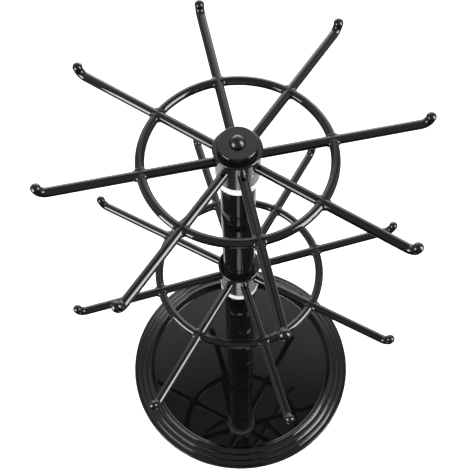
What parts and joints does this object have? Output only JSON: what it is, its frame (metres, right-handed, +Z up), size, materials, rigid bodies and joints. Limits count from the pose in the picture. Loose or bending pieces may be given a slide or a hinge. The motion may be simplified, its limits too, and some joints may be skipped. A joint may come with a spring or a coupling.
{
  "type": "mug tree",
  "caption": "Tall turning mug tree: a ridged round base, a post of stacked cups and spoked wheels of upturned arms, gloss black with bare steel hubs.",
  "frame": {"origin": "centre of the face it stands on, on the post's axis", "axes": "+Z up along the post; +X to the right as seen from the front, -Y towards the viewer"},
  "size_m": [0.3184, 0.3184, 0.4639],
  "materials": {
    "black_gloss": "high-gloss black lacquer",
    "bare_steel": "satin turned steel",
    "zinc_steel": "bright zinc plate",
    "white_nylon": "satin white nylon",
    "soft_pad": "matt black"
  },
  "bodies": {
    "stand": {"base_plate": "black_gloss", "base_pad": "soft_pad", "base_screw": "zinc_steel", "foot_socket": "black_gloss", "post_cup_1": "black_gloss", "post_cup_2": "black_gloss", "post_cup_3": "black_gloss", "lower_shoulder_cup": "black_gloss", "lower_collar": "white_nylon", "lower_spindle": "zinc_steel", "lower_flange": "black_gloss", "neck_cup": "black_gloss", "post_cup_5": "black_gloss", "post_cup_6": "black_gloss", "upper_shoulder_cup": "black_gloss", "upper_collar": "white_nylon", "upper_spindle": "zinc_steel", "upper_flange": "black_gloss", "top_cap": "black_gloss", "dome_nut": "black_gloss", "tie_rod": "zinc_steel"},
    "lower_tier": {"lower_sleeve": "bare_steel", "lower_arm_ring": "bare_steel", "lower_brace": "black_gloss", "lower_arm_1": "black_gloss", "lower_arm_2": "black_gloss", "lower_arm_3": "black_gloss", "lower_arm_4": "black_gloss", "lower_arm_5": "black_gloss", "lower_arm_6": "black_gloss", "lower_arm_7": "black_gloss", "lower_arm_8": "black_gloss"},
    "upper_tier": {"upper_sleeve": "bare_steel", "upper_arm_ring": "bare_steel", "upper_brace": "black_gloss", "upper_arm_1": "black_gloss", "upper_arm_2": "black_gloss", "upper_arm_3": "black_gloss", "upper_arm_4": "black_gloss", "upper_arm_5": "black_gloss", "upper_arm_6": "black_gloss", "upper_arm_7": "black_gloss", "upper_arm_8": "black_gloss"}
  },
  "joints": [
    {"name": "lower_tier_turn", "type": "hinge", "parent": "stand", "child": "lower_tier", "pos_m": [0, 0, 0.226], "axis": [0, 0, 1], "continuous": true},
    {"name": "upper_tier_turn", "type": "hinge", "parent": "stand", "child": "upper_tier", "pos_m": [0, 0, 0.418], "axis": [0, 0, 1], "continuous": true}
  ]
}
